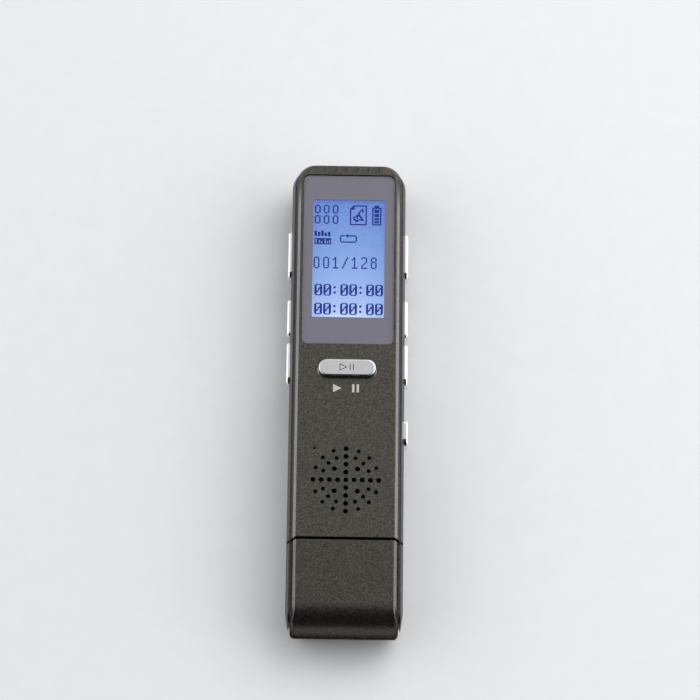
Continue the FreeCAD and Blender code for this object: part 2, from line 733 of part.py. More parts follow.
foot = inner_half - flange - 0.05
rim = (key_gap + flange_rim) * 2
shaft_z = middle + 0.1
cases = []
for name, side, y, span in KEYS:
    key = body(name)
    pad(
        key, centred(sketch(key, "YZ_Plane", foot * side), y, middle, span + rim, key_width + rim, 0.9),
        flange, side < 0,
    )
    pad(
        key, centred(sketch(key, "YZ_Plane", foot * side), y, middle, span, key_width, 0.8),
        half + key_rise - foot, side < 0,
    )
    rounded(key, 0.55, lambda p: near(p.x, (half + key_rise) * side))
    rod(across(side, foot - 1.4, foot)[0], y, shaft_z, 0.5, 1.4, "x", name.replace("key", "plunger"))
    case = block(
        *across(side, foot - case_half * 2, foot - 0.8), y - case_half, y + case_half, board_top,
        board_top + case_half,
    )
    cases.append(cut(case, rod(across(side, foot - 2, foot)[0], y, shaft_z, 0.6, 2, "x")))
group("side_switches", cases)

play = body("play_button")
play_foot = inner_face - 0.55
play_rim = (play_gap + flange_rim) * 2
for grow, high in ((play_rim, 0.5), (0, thick + play_rise - play_foot)):
    outline = sketch(play, "XY_Plane", play_foot)
    pad(play, centred(outline, 0, play_y, play_length + grow, play_width + grow, pill), high)
rounded(play, 0.3, lambda p: near(p.z, thick + play_rise))
dome_z = play_foot - 1.55
cut(slab(0, play_y, 3.6, 3.6, board_top, dome_z + 0.4), rod(0, play_y, dome_z - 0.7, 0.8, 3), "play_switch")
rod(0, play_y, dome_z, 0.7, play_foot - dome_z, "z", "play_plunger")

knob = body("power_slider")
for grow, corner, high in ((rim, 0.9, flange), (0, 0.8, half + knob_rise - foot)):
    outline = sketch(knob, "YZ_Plane", foot)
    pad(knob, centred(outline, knob_y, middle, knob_length + grow, key_width + grow, corner), high)
rounded(knob, 0.4, lambda p: near(p.x, half + knob_rise))
pad(knob, centred(sketch(knob, "YZ_Plane", foot), knob_y, shaft_z, 1, 0.9), 1.5, True)
cut(
    block(foot - 3.6, foot - 0.9, knob_y - 3.2, knob_y + 5.2, board_top, board_top + case_half),
    block(foot - 2, foot, knob_y - 0.8, knob_y + 2.8, shaft_z - 0.6, shaft_z + 0.6),
    "slide_switch",
)

slab(pinhole_x, pinhole_y, 1, 0.6, board_top, board_top + 0.6, "indicator_led")
group(
    "light_pipe",
    [
        rod(pinhole_x, pinhole_y, board_top + 0.6, 0.5, inner_face - board_top - 0.65),
        rod(pinhole_x, pinhole_y, inner_face - 0.5, 0.25, face_wall + 0.4),
    ],
)

# ---------------------------------------------------------------- fasteners

screws = []
for x, y in SCREWS:
    blank = doc.addObject("Part::MultiFuse", "blank")
    blank.Shapes = [rod(x, y, 0.1, head_radius, 0.5), rod(x, y, 0.5, screw_radius, 4.6)]
    cross = doc.addObject("Part::MultiFuse", "cross")
    cross.Shapes = [slab(x, y, 1.3, 0.3, 0, 0.35), slab(x, y, 0.3, 1.3, 0, 0.35)]
    screws.append(cut(blank, cross))
group("cover_screws", screws)

# ---------------------------------------------------------------- cap

rail_end = end + 1.6
wrap = body("cap_shell")
profile = rectangle(sketch(wrap, "YZ_Plane"), end, cap_mouth, 0, thick, (cap_bend, None, None, cap_bend))
pad(wrap, profile, cover_half * 2, False, True)
rounded(wrap, cap_corner, lambda p: near(abs(p.x), cover_half), lambda p: near(p.y, cap_mouth))
slopes = sketch(wrap, "XZ_Plane", -(cap_mouth + 1))
beyond = 0.25  # how far the cut reaches past the surface, as a share of the slope
slope_x = (cover_half - cap_slope_in * (1 + beyond), cover_half + cap_slope_in * beyond)
slope_z = (thick + cap_slope_down * beyond, thick - cap_slope_down * (1 + beyond))
for side in (-1, 1):
    for heights in (slope_z, [thick - z for z in slope_z]):
        triangle(
            slopes,
            [
                (slope_x[0] * side, heights[0]), (slope_x[1] * side, heights[1]),
                (slope_x[1] * side, heights[0]),
            ],
        )
pocket(wrap, slopes, cap_length + 2, True)
rounded(wrap, edge_round, lambda p: near(abs(p.x), cover_half - cap_slope_in), lambda p: near(p.y, cap_mouth))
bend = cap_bend - face_wall
profile = rectangle(
    sketch(wrap, "YZ_Plane"), end + face_wall, cap_mouth + 1, face_wall, inner_face, (bend, None, None, bend)
)
pocket(wrap, profile, inner_half * 2, False, True)
profile = rectangle(
    sketch(wrap, "YZ_Plane"), rail_end, cap_mouth + 1, lip, parting,
    (rail_end_round, None, None, rail_end_round),
)
pocket(wrap, profile, width, False, True)

liner = body("cap_liner")
bend = bend + 0.2
profile = rectangle(
    sketch(liner, "YZ_Plane"), end + face_wall, cap_mouth, face_wall, inner_face, (bend, None, None, bend)
)
pad(liner, profile, inner_half * 2, False, True)
recess = neck_gap * 2
outline = centred(
    sketch(liner, "XZ_Plane", -cap_mouth), 0, middle, neck_width + recess, neck_height + recess, 1
)
pocket(liner, outline, neck + 0.3, True)
outline = centred(sketch(liner, "XZ_Plane", -cap_mouth), 0, middle, plug_width + 0.5, plug_height + 0.5, 0.7)
pocket(liner, outline, cap_length - 2.2, True)

for side, label in ((-1, "cap_left_rail"), (1, "cap_right_rail")):
    rail = body(label)
    for start, reach, inset in (
        (inner_half, cover_half - inner_half, 0),
        (inner_half, half - inner_half, groove_depth),
        (cover_half + groove_width, half - cover_half - groove_width, 0),
    ):
        corner = rail_end_round - inset
        profile = rectangle(
            sketch(rail, "YZ_Plane", start * side), rail_end + inset, cap_mouth, lip + inset, parting - inset,
            (corner, None, None, corner),
        )
        pad(rail, profile, reach, side < 0)
    sloped(
        rail, rail_slope_in, rail_slope_down, lambda p: near(p.x, half * side), lambda p: near(p.y, cap_mouth)
    )
    wide, narrow = (half + rail_taper_in * 0.2) * side, (half - rail_taper_in * 1.1) * side
    low, high = rail_end - rail_taper_len * 0.1, rail_end + rail_taper_len * 1.2
    taper = triangle(sketch(rail, "XY_Plane", middle), [(wide, high), (narrow, low), (wide, low)])
    pocket(rail, taper, width, False, True)

# ---------------------------------------------------------------- checks and files

doc.recompute()
os.makedirs("parts", exist_ok=True)
for item in doc.Objects:
    if any(word in ("Invalid", "Error") for word in item.State):
        raise ValueError(f"{item.Name} ({item.Label}) has state {item.State}")
for item in parts:
    if item.Shape.isNull() or not item.Shape.isValid() or not item.Shape.Solids:
        raise ValueError(f"{item.Label} has no valid solid")
for item in parts:
    item.Shape.exportStep(f"parts/{item.Label}.step")
print(len(parts), "parts written")
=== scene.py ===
"""Looks for the handheld voice recorder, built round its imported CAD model."""

import math

import bmesh
import bpy
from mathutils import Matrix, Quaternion, Vector


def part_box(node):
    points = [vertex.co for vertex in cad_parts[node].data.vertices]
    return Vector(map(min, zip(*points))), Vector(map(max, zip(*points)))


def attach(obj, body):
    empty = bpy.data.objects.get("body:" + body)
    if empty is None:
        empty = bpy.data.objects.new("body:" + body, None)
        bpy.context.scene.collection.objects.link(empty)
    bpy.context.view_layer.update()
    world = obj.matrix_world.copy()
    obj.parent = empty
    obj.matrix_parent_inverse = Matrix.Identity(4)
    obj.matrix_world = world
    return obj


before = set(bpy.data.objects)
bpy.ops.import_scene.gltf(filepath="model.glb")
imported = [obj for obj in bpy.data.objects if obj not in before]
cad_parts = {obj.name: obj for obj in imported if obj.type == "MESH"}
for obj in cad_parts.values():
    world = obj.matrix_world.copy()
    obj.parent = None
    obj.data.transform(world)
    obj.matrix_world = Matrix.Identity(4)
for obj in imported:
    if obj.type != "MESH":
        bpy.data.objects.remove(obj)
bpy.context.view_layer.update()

MM = 0.001
BODY = "recorder"


def corners(node):
    """A CAD node's lowest and highest corner, in millimetres."""
    low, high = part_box(node)
    return Vector(low) / MM, Vector(high) / MM


def middle(node):
    """The middle of a CAD node's box, in millimetres."""
    low, high = corners(node)
    return (low + high) / 2


FACE = corners("front_cover")[1].z  # the height of the recorder's face


# ---------------------------------------------------------------- material graphs


class Graph:
    """A material's node graph, with short calls for the nodes that the finishes share."""

    def __init__(self, name):
        self.material = bpy.data.materials.new(name)
        self.material.use_nodes = True
        self.tree = self.material.node_tree
        self.tree.nodes.clear()
        self.output = self.tree.nodes.new("ShaderNodeOutputMaterial")
        self.place = self.tree.nodes.new("ShaderNodeTexCoord").outputs["Object"]

    def feed(self, socket, value):
        """Links a socket to another node's output, or sets it to a value."""
        if isinstance(value, bpy.types.NodeSocket):
            self.tree.links.new(value, socket)
        else:
            socket.default_value = value

    def node(self, kind, settings=None, **sockets):
        """Adds a node. Sockets are given by name, with _ for a space, as a value or as a link."""
        made = self.tree.nodes.new(f"ShaderNode{kind}")
        for name, value in (settings or {}).items():
            setattr(made, name, value)
        for name, value in sockets.items():
            self.feed(made.inputs[name.replace("_", " ")], value)
        return made

    def stretched(self, x, y, z):
        """The object's own coordinates, scaled by a factor along each axis."""
        return self.node("Mapping", Vector=self.place, Scale=(x, y, z)).outputs[0]

    def place_mm(self, axis):
        """One of the object's own coordinates, in millimetres."""
        return self.math("MULTIPLY", self.node("SeparateXYZ", Vector=self.place).outputs[axis], 1 / MM)

    def noise(self, size_mm, detail=3, rough=0.55, place=None):
        """Noise with features of about the given size."""
        made = self.node(
            "TexNoise", Vector=place or self.place, Scale=1 / (size_mm * MM), Detail=detail, Roughness=rough
        )
        return made.outputs["Fac"]

    def flecks(self, size_mm):
        """A random value for each little cell of about the given size."""
        made = self.node("TexVoronoi", Vector=self.place, Scale=1 / (size_mm * MM))
        return self.node("SeparateColor", Color=made.outputs["Color"]).outputs[0]

    def ramp(self, factor, *stops):
        """A colour ramp of (position, colour) stops. A colour may be one number, for grey."""
        made = self.node("ValToRGB", Fac=factor)
        elements = made.color_ramp.elements
        while len(elements) < len(stops):
            elements.new(1)
        for element, (position, color) in zip(elements, stops):
            element.position = position
            element.color = (color,) * 3 + (1,) if isinstance(color, (int, float)) else (*color, 1)
        return made.outputs["Color"]

    def span(self, factor, low, high):
        """Maps a factor from 0..1 to low..high."""
        return self.node("MapRange", Value=factor, To_Min=low, To_Max=high).outputs[0]

    def mixed(self, factor, a, b, blend="MIX"):
        """Two colours mixed by a factor."""
        made = self.node("Mix", {"data_type": "RGBA", "blend_type": blend})
        for number, value in ((0, factor), (6, a), (7, b)):
            self.feed(made.inputs[number], (*value, 1) if isinstance(value, tuple) else value)
        return made.outputs[2]

    def math(self, operation, a, b=0.0):
        """The result of a math node on two values or links."""
        made = self.node("Math", {"operation": operation})
        self.feed(made.inputs[0], a)
        self.feed(made.inputs[1], b)
        return made.outputs[0]

    def step(self, value, start, end):
        """Rises smoothly from 0 to 1 as the value goes from start to end, in either direction."""
        if start > end:
            return self.math("SUBTRACT", 1.0, self.step(value, end, start))
        smooth = {"interpolation_type": "SMOOTHSTEP"}
        return self.node("MapRange", smooth, Value=value, From_Min=start, From_Max=end).outputs[0]

    def bump(self, height, depth_mm, strength=1):
        return self.node("Bump", Height=height, Distance=depth_mm * MM, Strength=strength).outputs[0]

    def surface(self, shader):
        """Finishes the material with a shader node."""
        self.tree.links.new(shader.outputs[0], self.output.inputs["Surface"])
        return self.material

    def principled(self, **sockets):
        return self.surface(self.node("BsdfPrincipled", **sockets))


def metallic_paint(name, base, rough, edge=None, band=0.5, fade=None, grazing=1.0):
    """Fine metallic paint: dense small flecks over a dark ground, and a slight orange peel.

    From edge, in millimetres from the middle, a bright band is painted over the width of the band: partly
    the cut metal of the edge, partly a painted highlight on the slope. The band fades out along Y over the
    two places in fade, where the painted highlight fades. A lower grazing dulls the paint at flat angles.
    """
    darker, lighter, sparkle = 0.62, 1.38, 2.1
    sharp, soft = 0.07, 0.12
    g = Graph(name)
    fine = g.noise(0.3, 3, 0.7)
    flecks = g.flecks(0.19)
    low, high = (tuple(c * factor for c in base) for factor in (darker, lighter))
    ground = g.ramp(fine, (0.3, low), (0.7, high))
    spark = g.ramp(flecks, (0.5, 0.0), (1.0, 0.6))
    color = g.mixed(spark, ground, tuple(c * sparkle for c in base))
    color = g.mixed(1.0, color, g.ramp(g.noise(7, 2), (0.3, 0.95), (0.7, 1.0)), "MULTIPLY")
    rough_map = g.span(flecks, rough - 0.05, rough + 0.07)
    # The bright band on the slopes: partly cut metal, partly a painted highlight
    if edge:
        across = g.math("ABSOLUTE", g.place_mm("X"))
        bare_cut_and_highlight = g.math(
            "MULTIPLY", g.step(across, edge, edge + sharp), g.step(across, edge + band + soft, edge + band)
        )
        if fade:
            bare_cut_and_highlight = g.math("MULTIPLY", bare_cut_and_highlight, g.step(g.place_mm("Y"), fade[1], fade[0]))
        # The band's pale, slightly bluish colour is partly a painted reflection of the pale room
        cut_and_highlight_color = g.ramp(g.noise(0.22, 3, 0.7), (0.3, (0.27, 0.265, 0.275)), (0.7, (0.5, 0.495, 0.515)))
        color = g.mixed(bare_cut_and_highlight, color, cut_and_highlight_color)
        rough_map = g.math("ADD", rough_map, g.math("MULTIPLY", bare_cut_and_highlight, -0.06))
    return g.principled(
        Base_Color=color, Roughness=rough_map, Metallic=0.94, Normal=g.bump(fine, 0.01, 0.5),
        Specular_Tint=(grazing, grazing, grazing, 1),
    )


def polished_metal(name, color, rough, grain=None):
    """Bright plated metal. Grain stretches faint brush lines along X, Y or Z."""
    g = Graph(name)
    place = g.stretched(*grain) if grain else None
    lines = g.noise(0.12, 4, 0.6, place)
    smudge = g.noise(2.2, 2)
    tint = g.mixed(g.ramp(smudge, (0.35, 0.0), (0.7, 1.0)), tuple(c * 0.94 for c in color), color)
    return g.principled(
        Base_Color=tint, Metallic=1.0, Roughness=g.span(lines, rough * 0.7, rough * 1.5),
        Normal=g.bump(lines, 0.004, 0.35),
    )


def moulded(name, dark, light, rough, grain_mm=0.25, depth_mm=0.01, shine=0.5):
    """Plastic or rubber with a fine moulded grain."""
    g = Graph(name)
    grain = g.noise(grain_mm, 4)
    color = g.ramp(grain, (0.3, dark), (0.75, light))
    return g.principled(
        Base_Color=color, Roughness=g.span(g.noise(1.5, 2), rough - 0.06, rough + 0.06),
        Normal=g.bump(grain, depth_mm, 0.6), Specular_IOR_Level=shine,
    )


def woven_mesh(name):
    """Black speaker cloth: two crossed sets of threads."""
    g = Graph(name)
    warp, weft = (
        g.node("TexWave", {"bands_direction": axis}, Vector=g.place, Scale=1600.0).outputs["Fac"]
        for axis in "XY"
    )
    threads = g.math("MAXIMUM", warp, weft)
    color = g.ramp(threads, (0.5, 0.001), (1.0, 0.012))
    return g.principled(Base_Color=color, Roughness=0.8, Normal=g.bump(threads, 0.05))


def solder_mask(name):
    """Green circuit board with faint copper tracks under the mask. The brick sizes are in metres."""
    g = Graph(name)
    brick = g.node(
        "TexBrick", Vector=g.place, Color1=(0.008, 0.1, 0.04, 1), Color2=(0.01, 0.12, 0.05, 1),
        Mortar=(0.03, 0.2, 0.08, 1), Scale=1.0, Mortar_Size=0.00012, Brick_Width=0.0021, Row_Height=0.0009,
    )
    return g.principled(
        Base_Color=brick.outputs["Color"], Roughness=g.span(g.noise(1), 0.25, 0.4),
        Normal=g.bump(brick.outputs["Fac"], 0.02, 0.5),
    )


def window(name):
    """The clear window: it passes what is behind it, and its outer side mirrors a little."""
    g = Graph(name)
    haze = g.span(g.noise(3), 0.03, 0.08)
    mirror = g.node("BsdfPrincipled", Base_Color=(1, 1, 1, 1), Metallic=1.0, Roughness=haze)
    clear = g.node("BsdfTransparent", Color=(0.97, 0.97, 0.98, 1))
    outside = g.math("SUBTRACT", 1.0, g.node("NewGeometry").outputs["Backfacing"])
    shine = g.math("MULTIPLY", g.node("Fresnel", IOR=1.3).outputs[0], outside)
    both = g.node("MixShader", Fac=shine)
    g.feed(both.inputs[1], clear.outputs[0])
    g.feed(both.inputs[2], mirror.outputs[0])
    return g.surface(both)


def lit_display(name, low, high):
    """The lit display: blue, paler towards the lamp at its lower edge, and a little mottled.

    The pale light reaches least high at the sides, so the glow follows a shallow arch.
    """
    arch = 0.14
    g = Graph(name)
    parts = g.node("SeparateXYZ", Vector=g.place).outputs
    rise = g.node("MapRange", Value=parts["Y"], From_Min=low.y * MM, From_Max=high.y * MM).outputs[0]
    aside = g.math("DIVIDE", parts["X"], high.x * MM)
    height = g.math("ADD", rise, g.math("MULTIPLY", g.math("MULTIPLY", aside, aside), arch))
    glow = g.ramp(
        height, (0.14, (0.68, 0.8, 0.95)), (0.24, (0.38, 0.52, 0.86)), (0.4, (0.25, 0.4, 0.77)),
        (0.57, (0.16, 0.31, 0.67)), (0.86, (0.07, 0.17, 0.555)),
    )
    mottled = g.mixed(g.ramp(g.noise(0.5, 3), (0.35, 0.0), (0.7, 0.3)), glow, (0.3, 0.42, 0.72))
    return g.principled(
        Base_Color=(0.035, 0.05, 0.09, 1), Roughness=0.4, Emission_Color=mottled, Emission_Strength=1.0
    )


def liquid_crystal(name):
    """Dark blue liquid crystal, lit a little from behind."""
    g = Graph(name)
    tone = g.ramp(g.noise(0.3, 3), (0.3, (0.001, 0.016, 0.22)), (0.7, (0.003, 0.026, 0.27)))
    return g.principled(
        Base_Color=(0.004, 0.006, 0.03, 1), Roughness=0.4, Specular_IOR_Level=0.15,
        Emission_Color=tone, Emission_Strength=1.0,
    )


# Where the bright bands on the slopes begin, in millimetres from the middle: partly cut metal, partly a
# painted highlight
COVER_EDGE = corners("front_cover")[1].x - 0.8
CAP_EDGE = corners("cap_shell")[1].x - 0.9

FINISHES = {
    "gunmetal": metallic_paint("gunmetal", (0.077, 0.071, 0.0605), 0.33, COVER_EDGE, 0.44, (36, 43), 0.7),
    "cap_gunmetal": metallic_paint(
        "cap_gunmetal", (0.071, 0.065, 0.0565), 0.33, CAP_EDGE, 0.42, (-41, -43.5), 0.2
    ),
    "rail": metallic_paint("rail_gunmetal", (0.095, 0.091, 0.095), 0.36),
    "chrome": polished_metal("bright_plating", (0.86, 0.86, 0.87), 0.1),
    "brushed": polished_metal("brushed_plating", (0.69, 0.69, 0.69), 0.22, (0.06, 1, 1)),
    "steel": polished_metal("plain_steel", (0.55, 0.55, 0.56), 0.28, (1, 0.08, 1)),
    "black_steel": polished_metal("blackened_steel", (0.05, 0.05, 0.055), 0.32),
    "gold": polished_metal("gold_flash", (0.86, 0.62, 0.25), 0.2),
    "foil": polished_metal("pouch_foil", (0.62, 0.62, 0.64), 0.35, (1, 0.3, 1)),
    "black": moulded("black_plastic", (0.006, 0.006, 0.006), (0.018, 0.018, 0.019), 0.45),
    # black_gloss is used only for the painted shade at the keys' lower ends
    "black_gloss": moulded("black_gloss", (0.002, 0.002, 0.002), (0.006, 0.006, 0.006), 0.35, 0.2, 0.003),
    "white": moulded("white_plastic", (0.6, 0.59, 0.55), (0.72, 0.71, 0.67), 0.4),
    "chip": moulded("chip_resin", (0.01, 0.01, 0.011), (0.028, 0.028, 0.03), 0.6, 0.12),
    "paper": moulded("pressed_paper", (0.03, 0.028, 0.025), (0.07, 0.065, 0.06), 0.8, 0.3, 0.03),
    "ceramic": moulded("ceramic", (0.2, 0.14, 0.08), (0.3, 0.21, 0.12), 0.5),
    "foam": moulded("foam", (0.01, 0.01, 0.01), (0.04, 0.04, 0.04), 0.9, 0.35, 0.08),
    "ribbon": moulded("ribbon_film", (0.35, 0.14, 0.02), (0.5, 0.22, 0.04), 0.3),
    "wire": moulded("wire_sleeve", (0.3, 0.01, 0.008), (0.4, 0.02, 0.012), 0.4),
    "print": moulded("border_print", (0.2, 0.19, 0.224), (0.214, 0.203, 0.239), 0.5, 0.2, 0.002),
    "ink": moulded("label_ink", (0.5, 0.49, 0.48), (0.64, 0.63, 0.62), 0.6, 0.1, 0.004),
    # engraved: dark strokes painted as the shade in the play button's engraved marks
    "engraved": moulded("engraving_shade", (0.02, 0.02, 0.02), (0.05, 0.05, 0.05), 0.5),
    "smoked": moulded("smoked_plastic", (0.004, 0.002, 0.002), (0.009, 0.004, 0.004), 0.4, 0.2, 0.002, 0.12),
    "lamp": moulded("red_lamp", (0.11, 0.006, 0.006), (0.17, 0.012, 0.01), 0.3, 0.15, 0.004),
    "mesh": woven_mesh("speaker_cloth"),
    "gauze": moulded("steel_gauze", (0.03, 0.028, 0.026), (0.11, 0.105, 0.1), 0.55, 0.16, 0.03),
    "board": solder_mask("solder_mask"),
    "window": window("window"),
    "display": lit_display("lit_display", *corners("display_mask")),
    "picture": liquid_crystal("picture_ink"),
    "diffuser": moulded("diffuser", (0.6, 0.7, 0.85), (0.75, 0.85, 0.95), 0.5),
}

KEYS = ("menu", "volume_up", "volume_down", "record", "previous", "next")
NODE_FINISH = {
    "front_cover": "gunmetal", "rear_cover": "gunmetal", "cap_shell": "cap_gunmetal",
    "side_frame": "rail", "cap_left_rail": "rail", "cap_right_rail": "rail",
    "plug_mount": "black", "cap_liner": "black", "cover_screws": "black_steel",
    "display_lens": "window", "display_mask": "print", "display_glass": "display",
    "display_backlight": "diffuser", "display_tray": "white", "display_ribbon": "ribbon",
    "circuit_board": "board", "main_chip": "chip", "memory_chip": "chip", "amplifier_chip": "chip",
    "clock_crystal": "steel", "board_capacitors": "ceramic", "battery": "foil", "battery_tape": "foam",
    "battery_leads": "wire", "speaker_basket": "steel", "speaker_cone": "paper", "speaker_gasket": "foam",
    "grille_mesh": "mesh", "microphones": "steel", "microphone_boot": "foam", "jack_body": "black",
    "jack_barrel": "steel", "jack_contacts": "gold", "usb_shell": "steel", "usb_tongue": "black",
    "usb_contacts": "gold", "usb_leads": "gold", "side_switches": "steel", "slide_switch": "steel",
    "play_switch": "black", "play_button": "brushed", "play_plunger": "black", "power_slider": "chrome",
    "indicator_led": "white", "light_pipe": "smoked",
    **{f"{key}_key": "chrome" for key in KEYS},
    **{f"{key}_plunger": "black" for key in KEYS},
}


def paint(obj, finish):
    """Gives an object one of the finishes."""
    obj.data.materials.clear()
    obj.data.materials.append(FINISHES[finish])


for node, finish in NODE_FINISH.items():
    paint(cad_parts[node], finish)


# ---------------------------------------------------------------- pieces


def piece(name, mesh, finish, body=BODY):
    """Makes a Blender piece from a bmesh in millimetres, riding on a CAD body."""
    bmesh.ops.scale(mesh, vec=(MM, MM, MM), verts=mesh.verts)
    bmesh.ops.recalc_face_normals(mesh, faces=mesh.faces)
    data = bpy.data.meshes.new(name)
    mesh.to_mesh(data)
    mesh.free()
    obj = bpy.data.objects.new(name, data)
    bpy.context.scene.collection.objects.link(obj)
    paint(obj, finish)
    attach(obj, body)


def prism(mesh, outline, low, high):
    """A flat-topped solid over a plan outline of (x, y) points."""
    floor = [mesh.verts.new((x, y, low)) for x, y in outline]
    roof = [mesh.verts.new((x, y, high)) for x, y in outline]
    close_up(mesh, floor, roof)


def close_up(mesh, floor, roof):
    """Faces over two matching rings of vertices and between them."""
    mesh.faces.new(floor[::-1])
    mesh.faces.new(roof)
    count = len(floor)
    for i in range(count):
        j = (i + 1) % count
        mesh.faces.new((floor[i], floor[j], roof[j], roof[i]))


def tile(mesh, x0, y0, x1, y1, low, high):
    """A rectangular slab."""
    prism(mesh, [(x0, y0), (x1, y0), (x1, y1), (x0, y1)], low, high)


# The display's digits and symbols. Each mark is one dark cell of its dot matrix.

SMALL_ZERO = """
.XXX.
X...X
X...X
X...X
X...X
X...X
X...X
.XXX.
"""
BOLD_ZERO = """
.XXXXX.
XX...XX
XX...XX
XX..XXX
XX.XXXX
XX.X.XX
XXXX.XX
XXX..XX
XX...XX
XX...XX
.XXXXX.
"""
COLON = """
...
...
.XX
.XX
...
...
...
.XX
.XX
...
...
"""
FILE_SYMBOL = """
...XXXXXXXXXXXX
..XX..........X
.XXX..........X
XXXX.......X..X
X.........XX..X
X........X.X..X
X.......X..X..X
X......XX.....X
X.......X.....X
X.....XXX.....X
X....XXXXX....X
X..XX.X..XX...X
X..X..X...X...X
X..XX...XXXX..X
X...XXXX..XX..X
X....XX.......X
X.............X
X.............X
XXXXXXXXXXXXXXX
"""
BATTERY_SYMBOL = """
..XXXX..
..XXXX..
XXXXXXXX
X......X
X.XXXX.X
X.XXXX.X
X.XXXX.X
X......X
X.XXXX.X
X.XXXX.X
X.XXXX.X
X......X
X.XXXX.X
X.XXXX.X
X......X
X.XXXX.X
X.XXXX.X
X......X
XXXXXXXX
"""
LEVEL_BARS = """
XX....XX.......
XX.XX.XX....XX.
XX.XX.XX.XX.XX.
XX.XX.XX.XX.XX.
XX.XX.XX.XX.XX.
"""
SCALE_BAR = """
XXXXXXXXXXXXXXX
X.XXXXXXX.XXXXX
X.XX.XXXX.XXX.X
X.XX.X.XX.X.X.X
X.XX.X.XX.X.X.X
XXXXXXXXXXXXXXX
"""
REPEAT_SYMBOL = """
......X........
.XXX.XXXXXXXXX.
X.....X.......X
X.............X
X.............X
X.............X
X.............X
.XXXXXXXXXXXXX.
"""
TALL_ZERO = """
.XXX.
X...X
X...X
X...X
X...X
X...X
X...X
X...X
X...X
X...X
.XXX.
"""
TALL_ONE = """
..X..
.XX..
X.X..
..X..
..X..
..X..
..X..
..X..
..X..
..X..
XXXXX
"""
TALL_TWO = """
.XXX.
X...X
....X
....X
....X
...X.
..X..
.X...
X....
X....
XXXXX
"""
TALL_EIGHT = """
.XXX.
X...X
X...X
X...X
.XXX.
X...X
X...X
X...X
X...X
X...X
.XXX.
"""
TALL_SLASH = """
....X
....X
...X.
...X.
..X..
..X..
..X..
.X...
.X...
X....
X....
"""
PICTURE_CELLS = 64  # across the picture
PICTURE_WIDTH, PICTURE_LENGTH = 13.6, 23.9
ROW_FILL = 0.97  # of a cell's height
THIN_SPREAD = 0.12  # of a cell, by which the thin glyphs' cells reach over their neighbours
CLOCK = [
    (BOLD_ZERO, 2), (BOLD_ZERO, 10), (COLON, 18),
    (BOLD_ZERO, 25), (BOLD_ZERO, 33), (COLON, 41),
    (BOLD_ZERO, 48), (BOLD_ZERO, 56),
]
COUNTER = [TALL_ZERO, TALL_ZERO, TALL_ONE, TALL_SLASH, TALL_ONE, TALL_TWO, TALL_EIGHT]

# Each glyph of the picture, with the column and the row of its upper left cell
PICTURE = (
    [(SMALL_ZERO, column, row) for row in (4, 14) for column in (1.4, 9.4, 17.4)]
    + [(FILE_SYMBOL, 32.8, 4), (BATTERY_SYMBOL, 52.8, 4)]
    + [(LEVEL_BARS, 1.4, 29), (SCALE_BAR, 1.4, 36), (REPEAT_SYMBOL, 24.2, 32)]
    + [(glyph, 1 + 8.5 * number, 54) for number, glyph in enumerate(COUNTER)]
    + [(glyph, column, row) for row in (80, 98) for glyph, column in CLOCK]
)


def dark_runs(line):
    """The start and end of each run of dark cells in a row of a glyph."""
    start = None
    for number, mark in enumerate(line + "."):
        if mark == "X" and start is None:
            start = number
        if mark != "X" and start is not None:
            yield start, number
            start = None


def display_picture():
    """The dark picture elements: a little slab for each run of dark cells in a row."""
    glass_top = corners("display_glass")[1].z
    heights = (glass_top - 0.01, glass_top + 0.02)
    pitch = PICTURE_WIDTH / PICTURE_CELLS
    left_edge, top_edge = -PICTURE_WIDTH / 2, middle("display_glass").y + PICTURE_LENGTH / 2
    mesh = bmesh.new()
    for glyph, column, row in PICTURE:
        spread = 0.0 if glyph in (BOLD_ZERO, COLON, SCALE_BAR) else pitch * THIN_SPREAD
        for line_number, line in enumerate(glyph.strip("\n").split("\n")):
            y = top_edge - (row + line_number) * pitch
            for run in dark_runs(line):
                x0, x1 = (left_edge + (column + n) * pitch for n in run)
                tile(mesh, x0 - spread, y - pitch * ROW_FILL - spread, x1 + spread, y + spread, *heights)
    piece("display_picture", mesh, "picture")


display_picture()


def label_marks():
    """The printed label under the play button: a play triangle and two pause bars."""
    centre = middle("play_button").y - 3.85
    low, high = FACE - 0.01, FACE + 0.012
    top, bottom = centre + 0.8, centre - 0.8
    mesh = bmesh.new()
    prism(mesh, [(-2.6, bottom), (-1.0, centre), (-2.6, top)], low, high)
    for left in (0.95, 1.8):
        tile(mesh, left, bottom, left + 0.45, top, low, high)
    piece("label_marks", mesh, "ink")


label_marks()


def button_marks():
    """Thin dark strokes on the play button, painted shade of its engraved marks: an open triangle and two
    short bars.
    """
    centre = middle("play_button")
    top = corners("play_button")[1].z
    low, high = top - 0.01, top + 0.004
    half_stroke, half_height = 0.07, 0.62
    points = [(-1.35, half_height), (-0.15, 0.0), (-1.35, -half_height)]
    mesh = bmesh.new()
    for (xa, ya), (xb, yb) in zip(points, points[1:] + points[:1]):
        along = Vector((xb - xa, yb - ya)).normalized() * half_stroke
        side = Vector((-along.y, along.x))
        ends = [
            (xa - along.x + side.x, ya - along.y + side.y), (xa - along.x - side.x, ya - along.y - side.y),
            (xb + along.x - side.x, yb + along.y - side.y), (xb + along.x + side.x, yb + along.y + side.y),
        ]
        prism(mesh, [(x + centre.x, y + centre.y) for x, y in ends], low, high)
    for left in (centre.x + 0.45, centre.x + 1.05):
        tile(mesh, left, centre.y - 0.6, left + 0.16, centre.y + 0.6, low, high)
    piece("button_marks", mesh, "engraved", "play")


button_marks()

KEY_RIM = 0.45  # how far a key's hidden flange reaches past the key itself
KEY_HALF_HEIGHT, KEY_CORNER = 1.6, 0.8
# The painted shade at a key's lower end: its length, its start and how far it stands out
SHADE_LENGTH = 1.35
SHADE_START = 0.45  # from the key's lower end
SHADE_PROUD = 0.015  # out of the key's upper and lower faces


